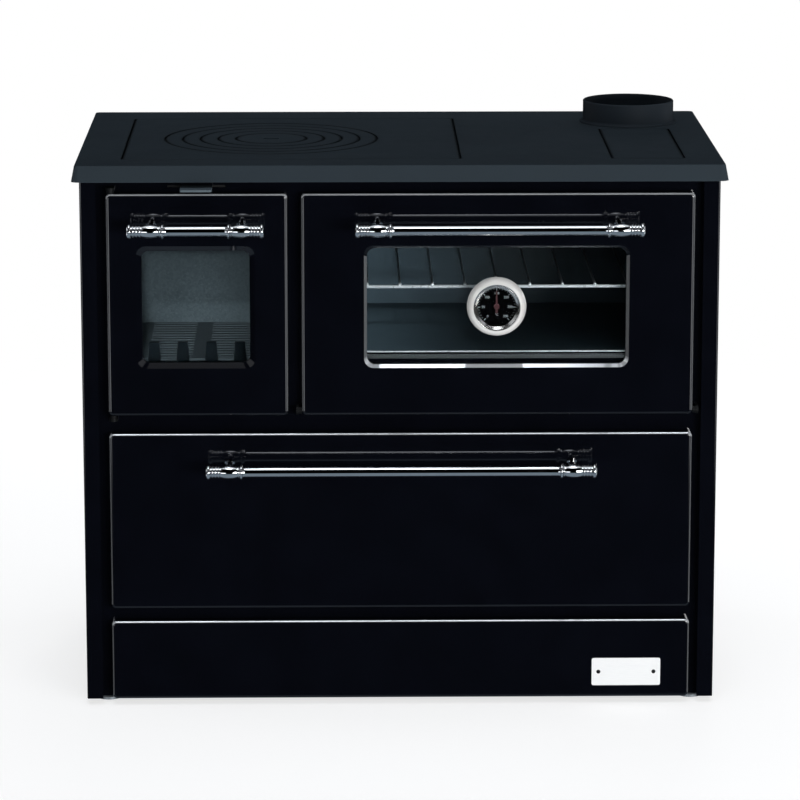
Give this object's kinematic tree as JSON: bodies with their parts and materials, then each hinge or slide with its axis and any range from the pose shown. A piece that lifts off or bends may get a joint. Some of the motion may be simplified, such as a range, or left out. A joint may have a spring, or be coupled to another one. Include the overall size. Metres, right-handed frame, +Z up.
{
  "type": "wood cookstove",
  "caption": "Enamelled wood-burning cookstove: cast cooktop with lift-out rings, glazed fire and oven doors, storage drawer, rail handles and a rear flue collar.",
  "frame": {"origin": "on the floor under the middle of the stove, levelling feet resting at zero", "axes": "+X to the right seen from the front, +Y towards the back, +Z up"},
  "size_m": [1, 0.6586, 0.886],
  "materials": {
    "enamel": "gloss black enamel",
    "black_steel": "matt black heat-proof paint",
    "galvanised": "galvanised sheet",
    "cast_iron": "blackened cast iron",
    "chrome": "polished chrome",
    "firebrick": "matt vermiculite",
    "oven_steel": "grey oven enamel",
    "wire": "bright wire",
    "glass": "clear ceramic glass",
    "rope": "glass-fibre rope",
    "dial": "matt black dial",
    "needle": "red pointer",
    "steel": "plain steel"
  },
  "bodies": {
    "casing": {"base_frame": "black_steel", "levelling_feet": "steel", "left_side_panel": "enamel", "right_side_panel": "enamel", "back_panel": "galvanised", "front_fascia": "enamel", "plinth_panel": "enamel", "compartment_floor": "galvanised", "middle_shelf": "galvanised", "cooktop_frame": "cast_iron", "hot_plate": "cast_iron", "cleanout_cover": "cast_iron", "flue_collar": "cast_iron", "firebox_case": "black_steel", "firebrick_left": "firebrick", "firebrick_right": "firebrick", "firebrick_back": "firebrick", "hearth_plate": "cast_iron", "fire_grate": "cast_iron", "ash_pan": "galvanised", "log_retainer": "cast_iron", "oven_liner": "oven_steel", "oven_rack": "wire", "oven_runners": "wire", "drawer_channels": "galvanised", "fire_hinge_lugs": "black_steel", "fire_hinge_pins": "black_steel", "oven_hinge_lugs": "black_steel", "oven_hinge_pins": "black_steel"},
    "air_slide": {"air_slide": "steel"},
    "ring_4": {"ring_4": "cast_iron"},
    "ring_3": {"ring_3": "cast_iron"},
    "ring_2": {"ring_2": "cast_iron"},
    "ring_1": {"ring_1": "cast_iron"},
    "ring_centre_plate": {"ring_centre_plate": "cast_iron"},
    "fire_door": {"fire_door_panel": "enamel", "fire_door_liner": "black_steel", "fire_door_glass": "glass", "fire_door_gasket": "rope", "fire_handle_bar": "chrome", "fire_handle_ends": "chrome"},
    "oven_door": {"oven_door_panel": "enamel", "oven_door_liner": "black_steel", "oven_door_glass": "glass", "oven_door_gasket": "rope", "oven_handle_bar": "chrome", "oven_handle_ends": "chrome", "thermometer_case": "chrome", "thermometer_dial": "dial", "thermometer_lens": "glass", "thermometer_stem": "steel"},
    "thermometer_needle": {"thermometer_needle": "needle"},
    "drawer": {"drawer_front": "enamel", "drawer_box": "galvanised", "drawer_rails": "steel", "drawer_handle_bar": "chrome", "drawer_handle_ends": "chrome"}
  },
  "joints": [
    {"name": "ring_4_lift", "type": "slide", "parent": "casing", "child": "ring_4", "axis": [0, 0, 1], "range_m": [0, 0.08]},
    {"name": "ring_3_lift", "type": "slide", "parent": "ring_4", "child": "ring_3", "axis": [0, 0, 1], "range_m": [0, 0.08]},
    {"name": "ring_2_lift", "type": "slide", "parent": "ring_3", "child": "ring_2", "axis": [0, 0, 1], "range_m": [0, 0.08]},
    {"name": "ring_1_lift", "type": "slide", "parent": "ring_2", "child": "ring_1", "axis": [0, 0, 1], "range_m": [0, 0.08]},
    {"name": "ring_centre_plate_lift", "type": "slide", "parent": "ring_1", "child": "ring_centre_plate", "axis": [0, 0, 1], "range_m": [0, 0.08]},
    {"name": "fire_door_hinge", "type": "hinge", "parent": "casing", "child": "fire_door", "pos_m": [-0.441, -0.25575, 0.633], "axis": [0, 0, -1], "range_deg": [0, 100]},
    {"name": "oven_door_hinge", "type": "hinge", "parent": "casing", "child": "oven_door", "pos_m": [0.1495, -0.25575, 0.468], "axis": [1, 0, 0], "range_deg": [0, 90], "stiffness_Nm_per_rad": 5, "springref_deg": -34.38},
    {"name": "drawer_slide", "type": "slide", "parent": "casing", "child": "drawer", "axis": [0, -1, 0], "range_m": [0, 0.4]},
    {"name": "air_slide", "type": "slide", "parent": "casing", "child": "air_slide", "axis": [1, 0, 0], "range_m": [-0.019, 0.019]},
    {"name": "needle_turn", "type": "hinge", "parent": "oven_door", "child": "thermometer_needle", "pos_m": [0.1475, -0.26275, 0.6305], "axis": [0, -1, 0], "range_deg": [-135, 135]}
  ]
}
